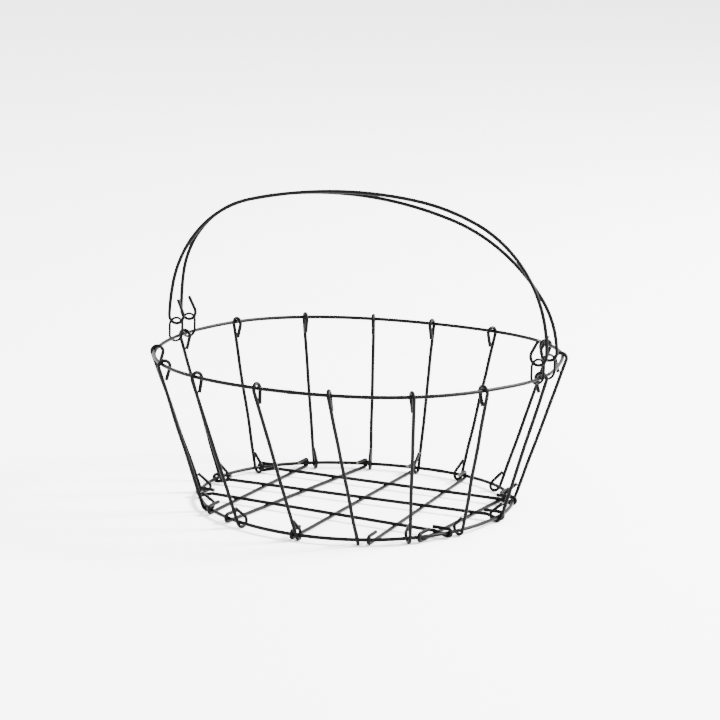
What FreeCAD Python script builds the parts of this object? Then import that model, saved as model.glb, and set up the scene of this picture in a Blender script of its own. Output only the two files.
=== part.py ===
import FreeCAD, Part
import math
import os
from FreeCAD import Vector

# Wire produce basket, millimetres.
# +Z is up, X runs along the line between the two ends of the bails, and the
# origin is on the table, at the centre under the basket. Angles round the
# basket start at +X and go counter-clockwise seen from above.

# ---------------------------------------------------------------- wires
wire_r = 1.0                 # rings, stakes, grid wires and bails: 2 mm wire
link_wire_r = 0.8            # the four small links: 1.6 mm wire
touch_gap = 0.04             # play left between wires that lie on each other
wire_pitch = 2 * wire_r + touch_gap

# ---------------------------------------------------------------- rings
rim_radius = 120.0           # centre line of the rim ring
base_radius = 93.5           # centre line of the base ring
ring_rise = 89.0             # rim ring above base ring

# ---------------------------------------------------------------- stakes
stake_bend = 3.4             # bend of the hook at each end of a stake
stake_close_deg = 32.0       # how far each hook's tail closes on the stake
top_tail = 8.0               # straight tail inside the rim
bottom_tail = 8.6            # straight tail inside the base ring
rim_seat_deg = 45.0          # where the rim ring sits in the top bend
base_seat_deg = 33.0         # where the base ring sits in the bottom bend
# where each stake is hooked: (angle on the rim ring, angle on the base ring).
# The basket is bent by hand, so the stakes stand unevenly.
stake_places = (
    (-1.0, 2.5), (26.6, 32.3), (45.7, 49.5), (70.8, 70.8),
    (92.1, 89.7), (111.0, 109.3), (132.3, 131.5), (156.0, 155.6),
    (179.5, 174.8), (204.2, 193.0), (224.7, 221.5), (243.4, 248.3),
    (265.7, 274.7), (287.3, 296.2), (309.9, 314.6), (332.3, 337.1),
)

# ---------------------------------------------------------------- grid
# each grid wire is a chord of the base ring: (distance from the centre, turn in degrees)
long_places = ((-38.9, -4.2), (4.9, 1.5), (42.6, 0.4))
cross_places = ((-65.2, 1.0), (-40.3, -4.0), (1.2, 2.1), (41.0, 4.6), (72.0, -0.8))
grid_bend = 2.2              # bend of the hooks round the base ring
grid_tail = 10.0             # tail on top of the base ring
slope_deg = 16.0             # long wires dip under the ring at this slope
slope_bend = 6.0
slope_start = 1.2            # the slope begins this far inside the ring

# ---------------------------------------------------------------- bails
bail_line = -1.4             # the line between the two bail axes, off the middle
bail_side = 8.2              # bail axis to that line
bail_lift = 8.4              # bottom of the bail's hook above the rim ring
bail_hook_bend = 4.9
bail_close_deg = 27.0
bail_tail = 8.5

# The two bails are bent differently, and lean towards each other. Headings are
# the slope of the wire in degrees: 90 is straight up, 0 is level. The two
# shoulders between the legs and the crown are worked out so that the bail
# closes.
bail_shapes = {
    -1: {"lean": 4.2, "left_leg_bend": 126.0, "left_leg_turn": 8.7,
         "crown_bend": 286.0, "crown_from": 15.2, "crown_to": -7.1,
         "right_leg_bend": 79.5, "right_leg_turn": 67.7},
    1: {"lean": 3.5, "left_leg_bend": 151.0, "left_leg_turn": 9.0,
        "crown_bend": 237.5, "crown_from": 16.4, "crown_to": -17.1,
        "right_leg_bend": 55.7, "right_leg_turn": 34.9},
}

# ---------------------------------------------------------------- links
link_half_width = 4.2
link_top = 11.85             # top of the link above the rim ring
link_bottom = -2.5           # bottom of the link below the rim ring
link_turn_deg = 53.7         # which way the link's flat side runs, from +X

# ---------------------------------------------------------------- heights
base_z = stake_bend + wire_r - (stake_bend - wire_pitch) * math.sin(math.radians(base_seat_deg))
rim_z = base_z + ring_rise
cross_z = base_z - wire_pitch
long_z = cross_z + wire_pitch

X_AXIS = Vector(1, 0, 0)
Z_AXIS = Vector(0, 0, 1)


class WirePath:
    """The centre line of a wire: straight runs and tangent bends, laid one after the other.

    ahead is the way the wire goes on, inside is the way that it bends."""

    def __init__(self, at, ahead, inside):
        self.at = at
        self.ahead = ahead
        self.inside = inside
        self.start = (at, ahead)
        self.edges = []
        self.length = 0.0

    def run(self, length):
        end = self.at + self.ahead * length
        self.edges.append(Part.LineSegment(self.at, end).toShape())
        self.at = end
        self.length += length

    def bend(self, radius, turn_deg):
        """Turn towards inside for a positive angle, away from it for a negative one."""
        way = self.inside if turn_deg > 0 else -self.inside
        turn = math.radians(abs(turn_deg))
        centre = self.at + way * radius
        ahead = self.ahead

        def on_bend(angle):
            return centre + ahead * (radius * math.sin(angle)) - way * (radius * math.cos(angle))

        steps = 2 if turn > 2.6 else 1
        for step in range(steps):
            points = [on_bend(turn * (step + part) / steps) for part in (0.0, 0.5, 1.0)]
            self.edges.append(Part.Arc(points[0], points[1], points[2]).toShape())
        self.at = on_bend(turn)
        self.ahead = ahead * math.cos(turn) + way * math.sin(turn)
        turned = way * math.cos(turn) - ahead * math.sin(turn)
        self.inside = turned if turn_deg > 0 else -turned
        self.length += radius * turn

    def tube(self, radius):
        circle = Part.Circle(self.start[0], self.start[1], radius)
        face = Part.Face(Part.Wire([circle.toShape()]))
        solid = Part.Wire(self.edges).makePipe(face)
        if solid.ShapeType != "Solid":
            solid = solid.Solids[0]
        expected = math.pi * radius ** 2 * self.length
        if not solid.isValid() or abs(solid.Volume / expected - 1) > 0.002:
            raise ValueError("bad wire: %g instead of %g" % (solid.Volume, expected))
        return solid


def radial(angle_deg):
    angle = math.radians(angle_deg)
    return Vector(math.cos(angle), math.sin(angle), 0)


def square_to(direction, line):
    """The unit direction nearest to the given one that is square to a line."""
    flat = direction - line * direction.dot(line)
    return flat / flat.Length


def make_stake(rim_angle, base_angle):
    """A side wire outside both rings, hooked over the rim and under the base.

    The leg can lean sideways. Each hook lies in the plane of the leg and the way out from the
    basket's middle at that ring."""
    rim_out = radial(rim_angle)
    base_out = radial(base_angle)
    rim_seat = math.radians(rim_seat_deg)
    base_seat = math.radians(base_seat_deg)
    leg = Vector(0, 0, 1)
    for improving in range(6):
        # a leaning hook meets the ring's wire at a slant and has less room for it
        slant = max(abs(leg.dot(Z_AXIS.cross(rim_out))), abs(leg.dot(Z_AXIS.cross(base_out))))
        play = stake_bend - 2 * wire_r / math.sqrt(1 - slant ** 2) - touch_gap
        top_centre = (rim_out * (rim_radius - play * math.cos(rim_seat))
                      + Z_AXIS * (rim_z - play * math.sin(rim_seat)))
        bottom_centre = (base_out * (base_radius - play * math.cos(base_seat))
                         + Z_AXIS * (base_z + play * math.sin(base_seat)))
        top_out = square_to(rim_out, leg)
        bottom_out = square_to(base_out, leg)
        leg_top = top_centre + top_out * stake_bend
        leg_bottom = bottom_centre + bottom_out * stake_bend
        leg = (leg_top - leg_bottom) / (leg_top - leg_bottom).Length
    turn = 180.0 + stake_close_deg
    # the top hook is walked once from the leg, to find the tip where the wire starts
    hook = WirePath(leg_top, leg, -square_to(rim_out, leg))
    hook.bend(stake_bend, turn)
    hook.run(top_tail)
    path = WirePath(hook.at, -hook.ahead, hook.inside)
    path.run(top_tail)
    path.bend(stake_bend, turn)
    path.run((leg_top - leg_bottom).Length)
    path.inside = -square_to(base_out, leg)
    path.bend(stake_bend, turn)
    path.run(bottom_tail)
    return path.tube(wire_r)


def grid_wire_start(middle, along, half, tail, over):
    """The tip of a grid wire's first tail, on top of the ring, heading for the ring."""
    tip = middle - along * (half + over - tail) + Z_AXIS * (2 * grid_bend)
    return WirePath(tip, -along, -Z_AXIS)


def hook_overhang(cosine):
    """How far a grid wire runs past the ring before it turns back over it."""
    return max(0.0, wire_pitch / cosine - grid_bend)


def make_cross_wire(offset, turn_deg):
    """A straight wire under the base ring, turned back over it at both ends."""
    beside = radial(turn_deg)
    along = radial(turn_deg + 90.0)
    half = math.sqrt(base_radius ** 2 - offset ** 2)
    over = hook_overhang(half / base_radius)
    tail = grid_tail + over
    middle = beside * offset + Z_AXIS * cross_z
    path = grid_wire_start(middle, along, half, tail, over)
    path.run(tail)
    path.bend(grid_bend, 180.0)
    path.run(2 * (half + over))
    path.bend(grid_bend, 180.0)
    path.run(tail)
    return path.tube(wire_r)


def make_long_wire(offset, turn_deg):
    """A wire that lies on the cross wires and dips under the ring at its ends."""
    along = radial(turn_deg)
    beside = radial(turn_deg + 90.0)
    half = math.sqrt(base_radius ** 2 - offset ** 2)
    over = hook_overhang(half / base_radius)
    tail = grid_tail + over
    rise = long_z - cross_z
    slope = math.radians(slope_deg)
    easing = slope_bend * math.tan(slope / 2)
    slope_run = rise / math.sin(slope) - 2 * easing
    flat_half = half - slope_start - rise / math.tan(slope)
    middle = beside * offset + Z_AXIS * cross_z
    path = grid_wire_start(middle, along, half, tail, over)
    path.run(tail)
    path.bend(grid_bend, 180.0)
    path.run(over + slope_start - easing)
    path.bend(slope_bend, slope_deg)
    path.run(slope_run)
    path.bend(slope_bend, -slope_deg)
    path.run(2 * (flat_half - easing))
    path.bend(slope_bend, -slope_deg)
    path.run(slope_run)
    path.bend(slope_bend, slope_deg)
    path.run(over + slope_start - easing)
    path.bend(grid_bend, 180.0)
    path.run(tail)
    return path.tube(wire_r)


def bend_step(from_deg, to_deg):
    """(across, up) that a bend of radius 1 moves a wire that turns from one heading to another."""
    a = math.radians(from_deg)
    b = math.radians(to_deg)
    return (math.sin(a) - math.sin(b), math.cos(b) - math.cos(a))


def bail_axis(side):
    """(y, half length) of the line through the bottoms of a bail's two hooks."""
    y = bail_line + side * bail_side
    return y, math.sqrt(rim_radius ** 2 - y ** 2)


def shoulder_bends(shape, width):
    """The two shoulder radii that bring the bail down at the right place."""
    left_end = 90.0 - shape["left_leg_turn"]
    right_end = -90.0 + shape["right_leg_turn"]
    across = width
    up = 0.0
    for radius, start, end in ((shape["left_leg_bend"], 90.0, left_end),
                               (shape["crown_bend"], shape["crown_from"], shape["crown_to"]),
                               (shape["right_leg_bend"], right_end, -90.0)):
        step = bend_step(start, end)
        across -= radius * step[0]
        up -= radius * step[1]
    left = bend_step(left_end, shape["crown_from"])
    right = bend_step(shape["crown_to"], right_end)
    scale = left[0] * right[1] - left[1] * right[0]
    return ((across * right[1] - up * right[0]) / scale,
            (left[0] * up - left[1] * across) / scale)


def make_bail(side):
    """A bail with a hook at each end. side is -1 for the front one, 1 for the back."""
    shape = bail_shapes[side]
    y, hook_x = bail_axis(side)
    left_bend, right_bend = shoulder_bends(shape, 2 * (hook_x + bail_hook_bend))
    close = math.radians(bail_close_deg)
    lean = math.radians(shape["lean"])
    up = Vector(0, -side * math.sin(lean), math.cos(lean))
    # from the tip of the left tail, over the crown, to the tip of the right tail
    down = X_AXIS * math.sin(close) - up * math.cos(close)
    out = -X_AXIS * math.cos(close) - up * math.sin(close)
    hook_centre = Vector(-hook_x, y, rim_z + bail_lift) + up * bail_hook_bend
    tip = hook_centre - out * bail_hook_bend - down * bail_tail
    path = WirePath(tip, down, out)
    path.run(bail_tail)
    path.bend(bail_hook_bend, 180.0 + bail_close_deg)
    path.bend(shape["left_leg_bend"], shape["left_leg_turn"])
    path.bend(left_bend, 90.0 - shape["left_leg_turn"] - shape["crown_from"])
    path.bend(shape["crown_bend"], shape["crown_from"] - shape["crown_to"])
    path.bend(right_bend, shape["crown_to"] + 90.0 - shape["right_leg_turn"])
    path.bend(shape["right_leg_bend"], shape["right_leg_turn"])
    path.bend(bail_hook_bend, 180.0 + bail_close_deg)
    path.run(bail_tail)
    return path.tube(wire_r)


def make_link(end, side):
    """A closed oval eye round the rim ring. end is 1 at +X, side is 1 at +Y."""
    y, hook_x = bail_axis(side)
    across = radial(link_turn_deg)
    straight = link_top - link_bottom - 2 * link_half_width
    start = (Vector(end * hook_x, y, rim_z + link_bottom + link_half_width)
             + across * link_half_width)
    path = WirePath(start, Z_AXIS, -across)
    path.run(straight)
    path.bend(link_half_width, 180.0)
    path.run(straight)
    path.bend(link_half_width, 180.0)
    return path.tube(link_wire_r)


def make_ring(radius, z):
    return Part.makeTorus(radius, wire_r, Vector(0, 0, z), Z_AXIS)


nodes = {}
nodes["rim_ring"] = make_ring(rim_radius, rim_z)
nodes["base_ring"] = make_ring(base_radius, base_z)
for number, (rim_angle, base_angle) in enumerate(stake_places, start=1):
    nodes["stake_%02d" % number] = make_stake(rim_angle, base_angle)
for number, (offset, turn_deg) in enumerate(long_places, start=1):
    nodes["long_wire_%d" % number] = make_long_wire(offset, turn_deg)
for number, (offset, turn_deg) in enumerate(cross_places, start=1):
    nodes["cross_wire_%d" % number] = make_cross_wire(offset, turn_deg)
nodes["bail_front"] = make_bail(-1)
nodes["bail_back"] = make_bail(1)
nodes["link_front_left"] = make_link(-1, -1)
nodes["link_front_right"] = make_link(1, -1)
nodes["link_back_left"] = make_link(-1, 1)
nodes["link_back_right"] = make_link(1, 1)

os.makedirs("parts", exist_ok=True)
for name, solid in nodes.items():
    solid.exportStep("parts/%s.step" % name)
    box = solid.optimalBoundingBox()
    print("%-18s %-5s V %8.2f  x %7.2f %7.2f  y %7.2f %7.2f  z %6.2f %6.2f" % (
        name, solid.isValid(), solid.Volume,
        box.XMin, box.XMax, box.YMin, box.YMax, box.ZMin, box.ZMax))
print("base_z %.4f rim_z %.4f bail axis z %.4f" % (base_z, rim_z, rim_z + bail_lift))
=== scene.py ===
import math
import random

import bpy
from mathutils import Matrix, Vector


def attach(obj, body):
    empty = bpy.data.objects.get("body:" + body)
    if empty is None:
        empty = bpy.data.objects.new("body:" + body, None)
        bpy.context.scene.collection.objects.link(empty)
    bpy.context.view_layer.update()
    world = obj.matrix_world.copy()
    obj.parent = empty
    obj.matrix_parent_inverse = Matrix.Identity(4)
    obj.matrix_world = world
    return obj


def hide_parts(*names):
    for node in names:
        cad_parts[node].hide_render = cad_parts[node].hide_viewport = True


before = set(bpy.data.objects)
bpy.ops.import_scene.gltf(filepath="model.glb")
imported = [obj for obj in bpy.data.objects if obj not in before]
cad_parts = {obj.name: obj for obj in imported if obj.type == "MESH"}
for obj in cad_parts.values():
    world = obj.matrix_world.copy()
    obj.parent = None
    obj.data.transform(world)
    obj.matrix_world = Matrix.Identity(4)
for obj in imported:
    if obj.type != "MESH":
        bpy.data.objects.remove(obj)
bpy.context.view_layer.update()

# Wire produce basket. Every wire is drawn again as a fine tube along the CAD's centre line, with the
# small things that bent and coated wire has: flattened bends, cut ends, a little sway, rubbed coating.
# Sizes are millimetres until a mesh is made; MM turns them into metres. Angles are in degrees, and go
# round counter-clockwise seen from above, from +X.
MM = 0.001

# ---------------------------------------------------------------- the CAD's driving sizes
wire_r = 1.0
link_wire_r = 0.8
touch_gap = 0.04
wire_pitch = 2 * wire_r + touch_gap
rim_radius = 120.0
base_radius = 93.5
ring_rise = 89.0
stake_bend = 3.4
stake_close_deg = 32.0
top_tail = 8.0
bottom_tail = 8.6
rim_seat_deg = 45.0
base_seat_deg = 33.0
stake_places = (
    (-1.0, 2.5), (26.6, 32.3), (45.7, 49.5), (70.8, 70.8),
    (92.1, 89.7), (111.0, 109.3), (132.3, 131.5), (156.0, 155.6),
    (179.5, 174.8), (204.2, 193.0), (224.7, 221.5), (243.4, 248.3),
    (265.7, 274.7), (287.3, 296.2), (309.9, 314.6), (332.3, 337.1),
)
long_places = ((-38.9, -4.2), (4.9, 1.5), (42.6, 0.4))
cross_places = ((-65.2, 1.0), (-40.3, -4.0), (1.2, 2.1), (41.0, 4.6), (72.0, -0.8))
grid_bend = 2.2
grid_tail = 10.0
slope_deg = 16.0
slope_bend = 6.0
slope_start = 1.2
bail_line = -1.4
bail_side = 8.2
bail_lift = 8.4
bail_hook_bend = 4.9
bail_close_deg = 27.0
bail_tail = 8.5
bail_shapes = {
    -1: {"lean": 4.2, "left_leg_bend": 126.0, "left_leg_turn": 8.7,
         "crown_bend": 286.0, "crown_from": 15.2, "crown_to": -7.1,
         "right_leg_bend": 79.5, "right_leg_turn": 67.7},
    1: {"lean": 3.5, "left_leg_bend": 151.0, "left_leg_turn": 9.0,
        "crown_bend": 237.5, "crown_from": 16.4, "crown_to": -17.1,
        "right_leg_bend": 55.7, "right_leg_turn": 34.9},
}
link_half_width = 4.2
link_top = 11.85
link_bottom = -2.5
link_turn_deg = 53.7

base_z = stake_bend + wire_r - (stake_bend - wire_pitch) * math.sin(math.radians(base_seat_deg))
rim_z = base_z + ring_rise
cross_z = base_z - wire_pitch
long_z = base_z

X_AXIS = Vector((1, 0, 0))
Z_AXIS = Vector((0, 0, 1))

# ---------------------------------------------------------------- what the CAD's wire doesn't have
coat = 0.1                   # the coating's thickness, outside the CAD's wire
coat_fade = 12.0             # how far along a bail the coat thins out to nothing in its hooks
foot_fade = 10.0             # the same above a stake's foot
stake_sway = 0.25            # how far a hand-bent leg wanders from straight
bail_sway = 0.4
rim_weld = {"angle_deg": 276.0, "amount": 0.2, "reach": 1.7}
base_weld = {"angle_deg": 80.0, "amount": 0.14, "reach": 1.6}
# How far out of round the rings are, as waves round the ring: (count, cosine part, sine part).
rim_ripple = ((2, 0.7, 1.4), (3, -0.7, 0.0), (4, -1.3, 0.8))
base_ripple = ((2, 1.1, 0.2), (3, -2.0, 1.2), (4, -0.6, 0.2))
rim_lift = ((1, 0.2, 0.0), (2, 0.5, -0.1), (3, -0.1, 0.6))
rim_shift = 1.3              # and how far the rim sits back from the middle

# ---------------------------------------------------------------- how finely a wire is drawn
sides = 24                   # corners round a wire
run_step = 1.2               # longest step along a straight run
bend_step_deg = 7.0          # largest turn between two rings of corners
bend_step = 0.9              # and their largest distance in a bend


def smooth(value):
    value = min(1.0, max(0.0, value))
    return value * value * (3 - 2 * value)


class Ring:
    """One place along a wire: where it is, the way on, the way it bends, how tightly, how far along."""

    def __init__(self, place, ahead, beside, curvature, length):
        self.place = place
        self.ahead = ahead
        self.beside = beside
        self.normal = ahead.cross(beside)
        self.curvature = curvature
        self.length = length

    def moved(self, shift):
        return Ring(self.place + self.ahead * shift, self.ahead, self.beside, self.curvature, self.length)


class WireLine:
    """The centre line of a wire: straight runs and tangent bends, laid one after the other."""

    def __init__(self, at, ahead, inside):
        self.at = at
        self.ahead = ahead
        self.inside = inside
        self.length = 0.0
        self.rings = [Ring(at, ahead, inside, 0.0, 0.0)]
        self.marks = [0.0]

    def run(self, length, new_inside=None):
        """Go straight on. new_inside turns the plane of the next bend on the way."""
        steps = max(1, math.ceil(length / run_step))
        start = self.at
        first = self.inside
        for step in range(1, steps + 1):
            gone = length * step / steps
            if new_inside is not None:
                self.inside = square_to(first.lerp(new_inside, step / steps), self.ahead)
            self.rings.append(Ring(start + self.ahead * gone, self.ahead, self.inside, 0.0,
                                   self.length + gone))
        self.at = self.rings[-1].place
        self.length += length
        self.marks.append(self.length)

    def bend(self, radius, turn_deg):
        """Turn towards inside for a positive angle, away from it for a negative one."""
        sign = 1.0 if turn_deg > 0 else -1.0
        way = self.inside * sign
        turn = math.radians(abs(turn_deg))
        reach = radius * turn
        steps = max(2, math.ceil(abs(turn_deg) / bend_step_deg), math.ceil(reach / bend_step))
        if radius > 20:
            steps = max(2, math.ceil(reach / run_step))
        centre = self.at + way * radius
        ahead = self.ahead
        for step in range(1, steps + 1):
            angle = turn * step / steps
            place = centre + ahead * (radius * math.sin(angle)) - way * (radius * math.cos(angle))
            on = ahead * math.cos(angle) + way * math.sin(angle)
            beside = (way * math.cos(angle) - ahead * math.sin(angle)) * sign
            self.rings.append(Ring(place, on, beside, sign / radius, self.length + reach * step / steps))
        last = self.rings[-1]
        self.at = last.place
        self.ahead = last.ahead
        self.inside = last.beside
        self.length += reach
        self.marks.append(self.length)


class Sway:
    """The slight unevenness of hand-bent wire along a free span. It fades out at the span's ends."""

    def __init__(self, seed, spans, amount):
        draw = random.Random(seed)
        self.spans = []
        for start, end in spans:
            waves = []
            for wave in range(4):
                waves.append((draw.uniform(0.6, 2.6), draw.uniform(0, 2 * math.pi), draw.uniform(0.5, 1.0)))
            self.spans.append((start, end, waves))
        self.amount = amount

    def at(self, length):
        for start, end, waves in self.spans:
            if start < length < end:
                share = (length - start) / (end - start)
                window = smooth(share * 4) * smooth((1 - share) * 4)
                side = sum(size * math.sin(math.pi * pace * share * 2 + phase)
                           for pace, phase, size in waves[:2])
                lift = sum(size * math.sin(math.pi * pace * share * 2 + phase)
                           for pace, phase, size in waves[2:])
                return self.amount * window * side * 0.5, self.amount * window * lift * 0.5
        return 0.0, 0.0


def ripple(angle, waves):
    """The sum of some waves round a ring, at one angle."""
    return sum(a * math.cos(count * angle) + b * math.sin(count * angle) for count, a, b in waves)


def hand_bent(point):
    """The basket isn't quite round: both rings are a few millimetres out. The rim keeps its place at the
    two ends, where the bails' links are."""
    angle = math.atan2(point.y, point.x)
    share = min(1.0, max(0.0, (point.z - base_z) / ring_rise))
    ends = smooth(abs(math.sin(angle)) * 2.4 - 0.25) * share
    out = ripple(angle, base_ripple) * (1 - share) + ripple(angle, rim_ripple) * ends
    lift = ripple(angle, rim_lift) * ends
    return point + Vector((out * math.cos(angle), out * math.sin(angle) + rim_shift * ends, lift))


def straight_between(first, last):
    """For a wire that joins two places on the rings: its ends go along with the rings, and it stays
    straight."""
    span = last - first
    first_shift = hand_bent(first) - first
    last_shift = hand_bent(last) - last

    def bent(point):
        share = (point - first).dot(span) / span.length_squared
        return point + first_shift.lerp(last_shift, min(1.0, max(0.0, share)))
    return bent


def tube(name, rings, radius, closed=False, sway=None, rub=None, swell=None, bent=None):
    """A mesh round a centre line. rub gives how worn the coating is at a place, 0 to 1."""
    draw = random.Random(name)
    phases = [draw.uniform(0, 2 * math.pi) for _ in range(4)]
    points = []
    faces = []
    worn = []
    total = rings[-1].length
    if closed:
        stations = [(ring, 1.0, 0.0) for ring in rings]
    else:
        # a cut end: a small burr, a narrow rounded edge and a nearly flat face
        first, last = rings[0], rings[-1]
        edge = 0.16 * radius
        stations = [(first.moved(share * edge), grow, 1.0)
                    for share, grow in ((0.0, 0.62), (0.15, 0.86), (0.45, 0.97))]
        stations.append((first.moved(edge), 1.012, 0.8))
        stations += [(ring, 1.0, 0.0) for ring in rings if edge * 2 < ring.length < total - edge * 2]
        stations.append((last.moved(-edge), 1.012, 0.8))
        stations += [(last.moved(-share * edge), grow, 1.0)
                     for share, grow in ((0.45, 0.97), (0.15, 0.86), (0.0, 0.62))]
    for ring, grow, end in stations:
        push = sway.at(ring.length) if sway else (0.0, 0.0)
        middle = ring.place + ring.beside * push[0] + ring.normal * push[1]
        if bent:
            middle = bent(middle)
        tight = min(1.0, abs(ring.curvature) * 3.4)
        flat = 1.0 - 0.045 * tight
        wide = 1.0 + 0.022 * tight
        size = radius * grow
        size *= 1.0 + 0.006 * math.sin(ring.length * 0.21 + phases[0])
        size *= 1.0 + 0.004 * math.sin(ring.length * 0.67 + phases[1])
        if swell:
            size *= swell(ring.length)
        for corner in range(sides):
            angle = 2 * math.pi * corner / sides
            out = ring.beside * (math.cos(angle) * flat) + ring.normal * (math.sin(angle) * wide)
            lump = 1.0 + 0.004 * math.sin(3 * angle + ring.length * 0.4 + phases[2])
            point = middle + out * (size * lump)
            points.append(point * MM)
            amount = end
            if rub:
                amount = max(amount, rub(point, out.normalized(), ring.length))
            worn.append(amount)
    count = len(stations)
    for row in range(count if closed else count - 1):
        a = row * sides
        b = ((row + 1) % count) * sides
        for corner in range(sides):
            following = (corner + 1) % sides
            faces.append((a + corner, a + following, b + following, b + corner))
    if not closed:
        for row, turned in ((0, True), (count - 1, False)):
            ring = stations[row][0]
            middle = bent(ring.place) if bent else ring.place
            hub = len(points)
            points.append((middle + ring.ahead * (0.05 * radius * (1 if turned else -1))) * MM)
            worn.append(1.0)
            for corner in range(sides):
                following = (corner + 1) % sides
                a, b = row * sides + corner, row * sides + following
                faces.append((hub, b, a) if turned else (hub, a, b))
    mesh = bpy.data.meshes.new(name)
    mesh.from_pydata([tuple(point) for point in points], [], faces)
    mesh.polygons.foreach_set("use_smooth", [True] * len(faces))
    rubbed = mesh.attributes.new("rubbed", "FLOAT", "POINT")
    rubbed.data.foreach_set("value", worn)
    mesh.update()
    piece = bpy.data.objects.new(name, mesh)
    bpy.context.scene.collection.objects.link(piece)
    return piece


# ---------------------------------------------------------------- materials
def coated_wire(name, base, rough, grey):
    """Satin black powder coat on steel: fine orange peel, dust, and bare or thin coat where it rubs."""
    material = bpy.data.materials.new(name)
    material.use_nodes = True
    nodes = material.node_tree.nodes
    links = material.node_tree.links
    nodes.clear()
    out = nodes.new("ShaderNodeOutputMaterial")
    shader = nodes.new("ShaderNodeBsdfPrincipled")
    shader.inputs["IOR"].default_value = 1.5
    shader.inputs["Specular IOR Level"].default_value = coat_shine
    links.new(shader.outputs[0], out.inputs[0])
    place = nodes.new("ShaderNodeTexCoord")

    def noise(scale, detail, roughness=0.55):
        node = nodes.new("ShaderNodeTexNoise")
        node.inputs["Scale"].default_value = scale
        node.inputs["Detail"].default_value = detail
        node.inputs["Roughness"].default_value = roughness
        links.new(place.outputs["Object"], node.inputs["Vector"])
        return node

    def ramp(source, low, high, low_value, high_value):
        node = nodes.new("ShaderNodeMapRange")
        node.inputs["From Min"].default_value = low
        node.inputs["From Max"].default_value = high
        node.inputs["To Min"].default_value = low_value
        node.inputs["To Max"].default_value = high_value
        links.new(source, node.inputs["Value"])
        return node.outputs["Result"]

    def mix(factor, first, second):
        node = nodes.new("ShaderNodeMix")
        node.data_type = "RGBA"
        for socket, value in (("A", first), ("B", second)):
            target = [i for i in node.inputs if i.name == socket and i.type == "RGBA"][0]
            if isinstance(value, tuple):
                target.default_value = (*value, 1.0)
            else:
                links.new(value, target)
        factor_in = [i for i in node.inputs if i.name == "Factor" and i.type == "VALUE"][0]
        links.new(factor, factor_in)
        return [o for o in node.outputs if o.type == "RGBA"][0]

    peel = noise(1500.0, 2.0)
    cloud = noise(60.0, 4.0)
    dust = noise(420.0, 5.0, 0.7)
    wear_edge = noise(900.0, 4.0, 0.65)
    rubbed = nodes.new("ShaderNodeAttribute")
    rubbed.attribute_name = "rubbed"
    # the coat rubs through unevenly: the attribute says how much, the noise says where
    add = nodes.new("ShaderNodeMath")
    add.operation = "ADD"
    links.new(rubbed.outputs["Fac"], add.inputs[0])
    links.new(ramp(wear_edge.outputs["Fac"], 0.3, 0.7, -0.35, 0.35), add.inputs[1])
    bare = ramp(add.outputs[0], 0.72, 0.95, 0.0, 1.0)
    thin = ramp(add.outputs[0], 0.25, 0.8, 0.0, 1.0)
    tone = mix(ramp(cloud.outputs["Fac"], 0.3, 0.7, 0.0, 1.0), base, grey)
    dusty = mix(ramp(dust.outputs["Fac"], 0.62, 0.78, 0.0, 0.3), tone, (0.01, 0.0098, 0.0095))
    polished = mix(thin, dusty, (0.005, 0.0048, 0.0046))
    steel = mix(bare, polished, (0.07, 0.062, 0.055))
    links.new(steel, shader.inputs["Base Color"])
    links.new(ramp(bare, 0.0, 1.0, 0.0, 0.75), shader.inputs["Metallic"])
    rough_mix = nodes.new("ShaderNodeMath")
    rough_mix.operation = "ADD"
    links.new(ramp(cloud.outputs["Fac"], 0.3, 0.7, rough - 0.05, rough + 0.07), rough_mix.inputs[0])
    links.new(ramp(thin, 0.0, 1.0, 0.0, -0.08), rough_mix.inputs[1])
    links.new(rough_mix.outputs[0], shader.inputs["Roughness"])
    bump = nodes.new("ShaderNodeBump")
    bump.inputs["Strength"].default_value = 0.35
    bump.inputs["Distance"].default_value = 0.00004
    links.new(peel.outputs["Fac"], bump.inputs["Height"])
    links.new(bump.outputs["Normal"], shader.inputs["Normal"])
    return material


coat_shine = 0.05
black = (0.0006, 0.0006, 0.0007)
dark_grey = (0.0018, 0.0018, 0.0019)
coating = coated_wire("coated_wire", black, 0.4, dark_grey)


def finish_piece(piece, node, body):
    piece.data.materials.append(coating)
    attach(piece, body)
    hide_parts(node)


# ---------------------------------------------------------------- centre lines
def radial(angle_deg):
    angle = math.radians(angle_deg)
    return Vector((math.cos(angle), math.sin(angle), 0))


def square_to(direction, line):
    return (direction - line * direction.dot(line)).normalized()


def ring_rings(radius, z):
    """A closed centre line, in even steps."""
    count = round(2 * math.pi * radius / 1.6)
    made = []
    for step in range(count):
        angle_deg = 360.0 * step / count
        out = radial(angle_deg)
        made.append(Ring(out * radius + Z_AXIS * z, Z_AXIS.cross(out), -out, 1 / radius,
                         radius * math.radians(angle_deg)))
    return made


def weld_swell(radius, angle_deg, amount, reach):
    """The upset left where a ring's two ends were butt welded."""
    centre = radius * math.radians(angle_deg)

    def swell(length):
        gap = abs(length - centre)
        gap = min(gap, 2 * math.pi * radius - gap)
        return 1.0 + amount * math.exp(-(gap / reach) ** 2)
    return swell


def rim_swell(length):
    """The rim's weld, and the coat worn thin where the links ride at the two ends."""
    weld = weld_swell(rim_radius, **rim_weld)
    half_turn = math.pi * rim_radius
    gap = min(length % half_turn, half_turn - length % half_turn)
    return weld(length) * (wire_r + coat * smooth(gap / coat_fade - 1)) / (wire_r + coat)


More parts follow.
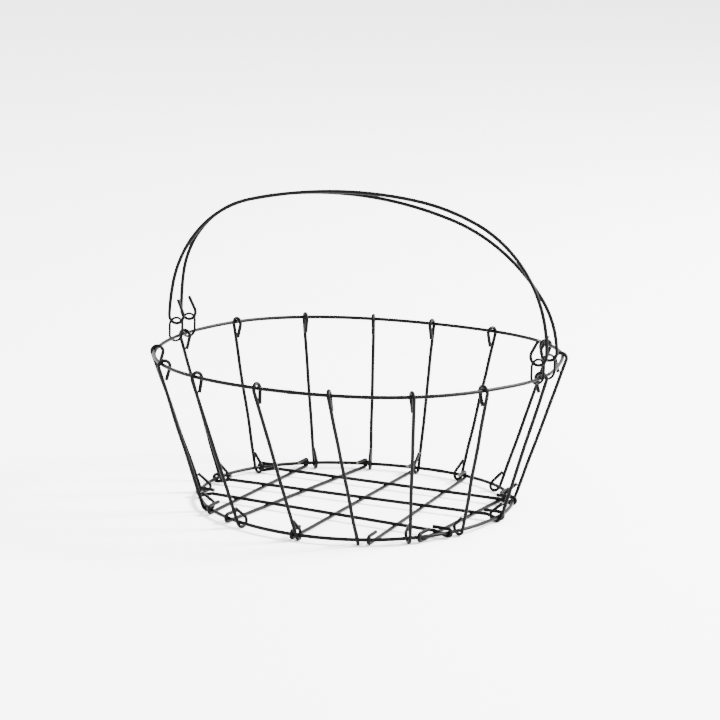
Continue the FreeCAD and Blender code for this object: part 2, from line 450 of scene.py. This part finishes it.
def stake_line(rim_angle, base_angle):
    """A side wire outside both rings, hooked over the rim and under the base."""
    rim_out = radial(rim_angle)
    base_out = radial(base_angle)
    rim_seat = math.radians(rim_seat_deg)
    base_seat = math.radians(base_seat_deg)
    leg = Z_AXIS.copy()
    for improving in range(6):
        slant = max(abs(leg.dot(Z_AXIS.cross(rim_out))), abs(leg.dot(Z_AXIS.cross(base_out))))
        play = stake_bend - 2 * wire_r / math.sqrt(1 - slant ** 2) - touch_gap
        top_centre = (rim_out * (rim_radius - play * math.cos(rim_seat))
                      + Z_AXIS * (rim_z - play * math.sin(rim_seat)))
        bottom_centre = (base_out * (base_radius - play * math.cos(base_seat))
                         + Z_AXIS * (base_z + play * math.sin(base_seat)))
        leg_top = top_centre + square_to(rim_out, leg) * stake_bend
        leg_bottom = bottom_centre + square_to(base_out, leg) * stake_bend
        leg = (leg_top - leg_bottom).normalized()
    turn = 180.0 + stake_close_deg
    hook = WireLine(leg_top, leg, -square_to(rim_out, leg))
    hook.bend(stake_bend, turn)
    hook.run(top_tail)
    line = WireLine(hook.at, -hook.ahead, hook.inside)
    line.run(top_tail)
    line.bend(stake_bend, turn)
    line.run((leg_top - leg_bottom).length, -square_to(base_out, leg))
    line.bend(stake_bend, turn)
    line.run(bottom_tail)
    return line


def hook_overhang(cosine):
    """How far a grid wire runs past the ring before it turns back over it."""
    return max(0.0, wire_pitch / cosine - grid_bend)


def grid_ways(turn_deg, dips):
    """The way a grid wire runs, and the way it is offset from the middle."""
    if dips:
        return radial(turn_deg), radial(turn_deg + 90.0)
    return radial(turn_deg + 90.0), radial(turn_deg)


def grid_line(offset, turn_deg, dips):
    """A wire across the base ring, turned back over it at both ends. A wire that dips lies on the
    others and goes down under the ring at its ends."""
    along, beside = grid_ways(turn_deg, dips)
    half = math.sqrt(base_radius ** 2 - offset ** 2)
    over = hook_overhang(half / base_radius)
    tail = grid_tail + over
    tip = beside * offset - along * (half + over - tail) + Z_AXIS * (cross_z + 2 * grid_bend)
    line = WireLine(tip, -along, -Z_AXIS)
    line.run(tail)
    line.bend(grid_bend, 180.0)
    if dips:
        rise = long_z - cross_z
        slope = math.radians(slope_deg)
        easing = slope_bend * math.tan(slope / 2)
        slope_run = rise / math.sin(slope) - 2 * easing
        flat_half = half - slope_start - rise / math.tan(slope)
        line.run(over + slope_start - easing)
        line.bend(slope_bend, slope_deg)
        line.run(slope_run)
        line.bend(slope_bend, -slope_deg)
        line.run(2 * (flat_half - easing))
        line.bend(slope_bend, -slope_deg)
        line.run(slope_run)
        line.bend(slope_bend, slope_deg)
        line.run(over + slope_start - easing)
    else:
        line.run(2 * (half + over))
    line.bend(grid_bend, 180.0)
    line.run(tail)
    return line


def bend_step_share(from_deg, to_deg):
    """(across, up) that a bend of radius 1 moves a wire that turns from one heading to another."""
    a = math.radians(from_deg)
    b = math.radians(to_deg)
    return (math.sin(a) - math.sin(b), math.cos(b) - math.cos(a))


def bail_axis(side):
    """(y, half length) of the line through the bottoms of a bail's two hooks."""
    y = bail_line + side * bail_side
    return y, math.sqrt(rim_radius ** 2 - y ** 2)


def shoulder_bends(shape, width):
    """The two shoulder radii that bring the bail down at the right place."""
    left_end = 90.0 - shape["left_leg_turn"]
    right_end = -90.0 + shape["right_leg_turn"]
    across = width
    up = 0.0
    for radius, start, end in ((shape["left_leg_bend"], 90.0, left_end),
                               (shape["crown_bend"], shape["crown_from"], shape["crown_to"]),
                               (shape["right_leg_bend"], right_end, -90.0)):
        step = bend_step_share(start, end)
        across -= radius * step[0]
        up -= radius * step[1]
    left = bend_step_share(left_end, shape["crown_from"])
    right = bend_step_share(shape["crown_to"], right_end)
    scale = left[0] * right[1] - left[1] * right[0]
    return ((across * right[1] - up * right[0]) / scale,
            (left[0] * up - left[1] * across) / scale)


def bail_centre_line(side):
    """A bail with a hook at each end. side is -1 for the front one, 1 for the back."""
    shape = bail_shapes[side]
    y, hook_x = bail_axis(side)
    left_bend, right_bend = shoulder_bends(shape, 2 * (hook_x + bail_hook_bend))
    close = math.radians(bail_close_deg)
    lean = math.radians(shape["lean"])
    up = Vector((0, -side * math.sin(lean), math.cos(lean)))
    down = X_AXIS * math.sin(close) - up * math.cos(close)
    out = -X_AXIS * math.cos(close) - up * math.sin(close)
    hook_centre = Vector((-hook_x, y, rim_z + bail_lift)) + up * bail_hook_bend
    line = WireLine(hook_centre - out * bail_hook_bend - down * bail_tail, down, out)
    line.run(bail_tail)
    line.bend(bail_hook_bend, 180.0 + bail_close_deg)
    line.bend(shape["left_leg_bend"], shape["left_leg_turn"])
    line.bend(left_bend, 90.0 - shape["left_leg_turn"] - shape["crown_from"])
    line.bend(shape["crown_bend"], shape["crown_from"] - shape["crown_to"])
    line.bend(right_bend, shape["crown_to"] + 90.0 - shape["right_leg_turn"])
    line.bend(shape["right_leg_bend"], shape["right_leg_turn"])
    line.bend(bail_hook_bend, 180.0 + bail_close_deg)
    line.run(bail_tail)
    return line


def link_line(end, side):
    """A closed oval eye round the rim ring. end is 1 at +X, side is 1 at +Y."""
    y, hook_x = bail_axis(side)
    across = radial(link_turn_deg)
    straight = link_top - link_bottom - 2 * link_half_width
    start = (Vector((end * hook_x, y, rim_z + link_bottom + link_half_width))
             + across * link_half_width)
    line = WireLine(start, Z_AXIS, -across)
    line.run(straight)
    line.bend(link_half_width, 180.0)
    line.run(straight)
    line.bend(link_half_width, 180.0)
    return line


# ---------------------------------------------------------------- pieces
piece = tube("coated_rim_ring", ring_rings(rim_radius, rim_z), wire_r + coat, closed=True,
             swell=rim_swell, bent=hand_bent)
finish_piece(piece, "rim_ring", "basket")
piece = tube("coated_base_ring", ring_rings(base_radius, base_z), wire_r + coat, closed=True,
             swell=weld_swell(base_radius, **base_weld), bent=hand_bent)
finish_piece(piece, "base_ring", "basket")

for number, (rim_angle, base_angle) in enumerate(stake_places, start=1):
    node = "stake_%02d" % number
    line = stake_line(rim_angle, base_angle)
    sway = Sway(node, [(line.marks[2] + 3, line.marks[3] - 3)], stake_sway)
    bent = straight_between(radial(base_angle) * base_radius + Z_AXIS * base_z,
                            radial(rim_angle) * rim_radius + Z_AXIS * rim_z)

    def foot_rub(point, out, length):
        return 0.75 * smooth((0.9 - point.z) / 0.9) * smooth((-out.z - 0.5) * 2.5)

    def worn_foot(length):
        """The coat is thin under the foot, which keeps the basket standing on the CAD's floor."""
        return (wire_r + coat * smooth((line.marks[3] - length) / foot_fade)) / (wire_r + coat)
    piece = tube("coated_" + node, line.rings, wire_r + coat, sway=sway, rub=foot_rub, swell=worn_foot,
                 bent=bent)
    finish_piece(piece, node, "basket")

for kind, places, dips in (("long_wire", long_places, True), ("cross_wire", cross_places, False)):
    for number, (offset, turn_deg) in enumerate(places, start=1):
        node = "%s_%d" % (kind, number)
        along, beside = grid_ways(turn_deg, dips)
        half = math.sqrt(base_radius ** 2 - offset ** 2)
        middle = beside * offset + Z_AXIS * base_z
        bent = straight_between(middle - along * half, middle + along * half)
        line = grid_line(offset, turn_deg, dips)
        piece = tube("coated_" + node, line.rings, wire_r + coat, bent=bent)
        finish_piece(piece, node, "basket")

for side, word in ((-1, "front"), (1, "back")):
    node = "bail_" + word
    line = bail_centre_line(side)
    span = (line.marks[2] + coat_fade, line.marks[7] - coat_fade)
    y, hook_x = bail_axis(side)

    def hook_rub(point, out, length):
        """Where the link's wire saddles the hook."""
        gap = Vector((abs(point.x) - hook_x, point.y - y, point.z - rim_z - bail_lift))
        return 0.9 * smooth(1.6 - gap.length / 1.9) * smooth(out.z * 1.4)

    def worn_hooks(length):
        """The coat is rubbed thin in the hooks."""
        free = (smooth((length - line.marks[2]) / coat_fade)
                * smooth((line.marks[7] - length) / coat_fade))
        return 1.0 + free * coat / wire_r
    piece = tube("coated_" + node, line.rings, wire_r, sway=Sway(node, [span], bail_sway), rub=hook_rub,
                 swell=worn_hooks)
    finish_piece(piece, node, node)

for end, side, word in ((-1, -1, "front_left"), (1, -1, "front_right"),
                        (-1, 1, "back_left"), (1, 1, "back_right")):
    node = "link_" + word

    def eye_rub(point, out, length):
        top = rim_z + link_top
        return 0.8 * smooth((point.z - top + 2.0) / 2.0) * smooth(-out.z * 1.4)
    piece = tube("coated_" + node, link_line(end, side).rings[:-1], link_wire_r, closed=True, rub=eye_rub)
    finish_piece(piece, node, node)

# ---------------------------------------------------------------- stage
floor_mesh = bpy.data.meshes.new("floor")
edge = 30.0                  # metres, far enough that no view sees it
floor_mesh.from_pydata([(-edge, -edge, 0), (edge, -edge, 0), (edge, edge, 0), (-edge, edge, 0)],
                       [], [(0, 1, 2, 3)])
floor = bpy.data.objects.new("floor", floor_mesh)
bpy.context.scene.collection.objects.link(floor)
paper = bpy.data.materials.new("paper")
paper.use_nodes = True
paper_shader = paper.node_tree.nodes["Principled BSDF"]
paper_shader.inputs["Base Color"].default_value = (0.9, 0.9, 0.9, 1)
paper_shader.inputs["Roughness"].default_value = 0.9
paper_shader.inputs["Specular IOR Level"].default_value = 0.1
floor_mesh.materials.append(paper)

# ---------------------------------------------------------------- light
world = bpy.data.worlds.new("studio")
world.use_nodes = True
world.node_tree.nodes["Background"].inputs["Color"].default_value = (1.0, 1.0, 1.0, 1)
world.node_tree.nodes["Background"].inputs["Strength"].default_value = 3.8
bpy.context.scene.world = world


def soft_box(name, place, target, width, height, power):
    light = bpy.data.lights.new(name, "AREA")
    light.shape = "RECTANGLE"
    light.size = width
    light.size_y = height
    light.energy = power
    holder = bpy.data.objects.new(name, light)
    holder.location = place
    holder.rotation_euler = (Vector(target) - Vector(place)).to_track_quat("-Z", "Y").to_euler()
    bpy.context.scene.collection.objects.link(holder)


# from the right and behind, so that a faint shadow falls to the left
soft_box("key", (1.67, 1.08, 1.67), (0, 0, 0), 0.8, 0.8, 560)

# ---------------------------------------------------------------- camera
# The viewing angle of the photograph: a long lens, a little above the rim, from the front and the right.
camera_place = Vector((0.72611, -1.54523, 0.44178))
right = Vector((0.9030, 0.42899, 0.0235)).normalized()
back = Vector((0.41596, -0.88664, 0.20212)).normalized()
up = back.cross(right).normalized()
right = up.cross(back).normalized()

camera_data = bpy.data.cameras.new("camera")
camera_data.sensor_width = 36.0
camera_data.lens = 145.175
camera_data.clip_end = 100.0
camera = bpy.data.objects.new("camera", camera_data)
bpy.context.scene.collection.objects.link(camera)
turn = Matrix((right, up, back)).transposed().to_4x4()
camera.matrix_world = Matrix.Translation(camera_place) @ turn
bpy.context.scene.camera = camera
